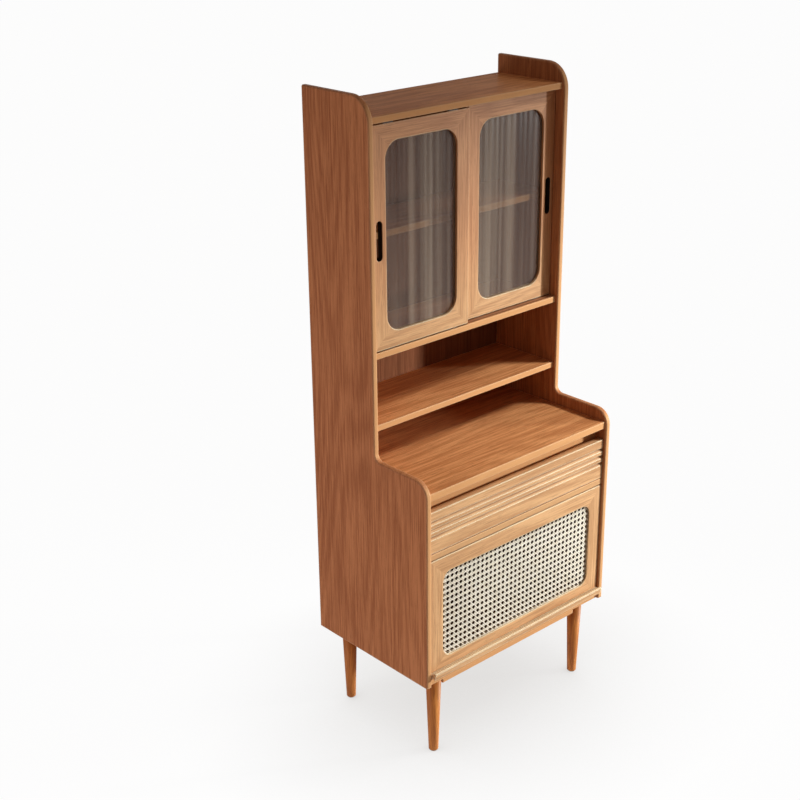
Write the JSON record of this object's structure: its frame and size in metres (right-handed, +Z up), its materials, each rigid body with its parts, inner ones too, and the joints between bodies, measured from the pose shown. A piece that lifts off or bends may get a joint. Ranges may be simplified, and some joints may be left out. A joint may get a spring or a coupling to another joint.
{
  "type": "display cabinet",
  "caption": "Stepped wooden display cabinet on turned legs with sliding glass doors, an open niche, a slatted drawer and a lift-up cane flap.",
  "frame": {"origin": "on the floor, in the middle of the closed cabinet's width and depth", "axes": "+X to the right seen from the front, +Y to the back, +Z up; the front faces -Y"},
  "size_m": [0.63, 0.406, 1.583],
  "materials": {
    "side_veneer": "satin lacquer over upright walnut-toned veneer",
    "board_veneer": "satin lacquer over level walnut-toned veneer",
    "back_veneer": "satin veneer",
    "upright_veneer": "satin lacquer, upright grain",
    "level_veneer": "satin lacquer, level grain",
    "turned_wood": "satin lacquer on turned solid wood",
    "plain_wood": "plain sanded wood",
    "reeded_glass": "tinted glass with upright ripples",
    "woven_cane": "natural woven cane",
    "steel": "zinc-plated steel",
    "brass": "plain turned brass",
    "brown_nylon": "nylon in the colour of the wood",
    "dark_nylon": "dark brown nylon"
  },
  "bodies": {
    "carcass": {"left_side_panel": "side_veneer", "right_side_panel": "side_veneer", "top_board": "board_veneer", "track_board": "board_veneer", "niche_shelf": "board_veneer", "display_shelf": "board_veneer", "counter_top": "board_veneer", "counter_rail": "board_veneer", "divider_board": "board_veneer", "bottom_board": "board_veneer", "upper_back_panel": "back_veneer", "lower_back_panel": "back_veneer", "front_stretcher": "board_veneer", "front_left_leg": "turned_wood", "front_right_leg": "turned_wood", "back_left_leg": "turned_wood", "back_right_leg": "turned_wood", "leg_bolts": "steel", "leg_glides": "dark_nylon", "upper_door_track": "brown_nylon", "lower_door_track": "brown_nylon", "shelf_pins": "steel", "carcass_tenons": "plain_wood", "flap_pivot_bushes": "brass", "drawer_outer_slides": "steel"},
    "left_door": {"left_door_left_stile": "upright_veneer", "left_door_right_stile": "upright_veneer", "left_door_top_rail": "level_veneer", "left_door_bottom_rail": "level_veneer", "left_door_glass": "reeded_glass", "left_door_glass_beads": "plain_wood", "left_door_runners": "dark_nylon"},
    "right_door": {"right_door_left_stile": "upright_veneer", "right_door_right_stile": "upright_veneer", "right_door_top_rail": "level_veneer", "right_door_bottom_rail": "level_veneer", "right_door_glass": "reeded_glass", "right_door_glass_beads": "plain_wood", "right_door_runners": "dark_nylon", "right_door_lap_strip": "upright_veneer"},
    "drawer": {"drawer_front": "level_veneer", "drawer_left_side": "plain_wood", "drawer_right_side": "plain_wood", "drawer_back": "plain_wood", "drawer_bottom": "plain_wood", "drawer_inner_slides": "steel"},
    "flap": {"flap_left_stile": "upright_veneer", "flap_right_stile": "upright_veneer", "flap_top_rail": "level_veneer", "flap_bottom_rail": "level_veneer", "flap_pull_rail": "level_veneer", "flap_pivot_pins": "steel", "cane_panel": "woven_cane", "cane_beads": "plain_wood"}
  },
  "joints": [
    {"name": "left_door_slide", "type": "slide", "parent": "carcass", "child": "left_door", "axis": [1, 0, 0], "range_m": [0, 0.3]},
    {"name": "right_door_slide", "type": "slide", "parent": "carcass", "child": "right_door", "axis": [-1, 0, 0], "range_m": [0, 0.28]},
    {"name": "drawer_slide", "type": "slide", "parent": "carcass", "child": "drawer", "axis": [0, -1, 0], "range_m": [0, 0.22]},
    {"name": "flap_lift", "type": "hinge", "parent": "carcass", "child": "flap", "pos_m": [0, -0.178, 0.539], "axis": [-1, 0, 0], "range_deg": [0, 90]}
  ]
}
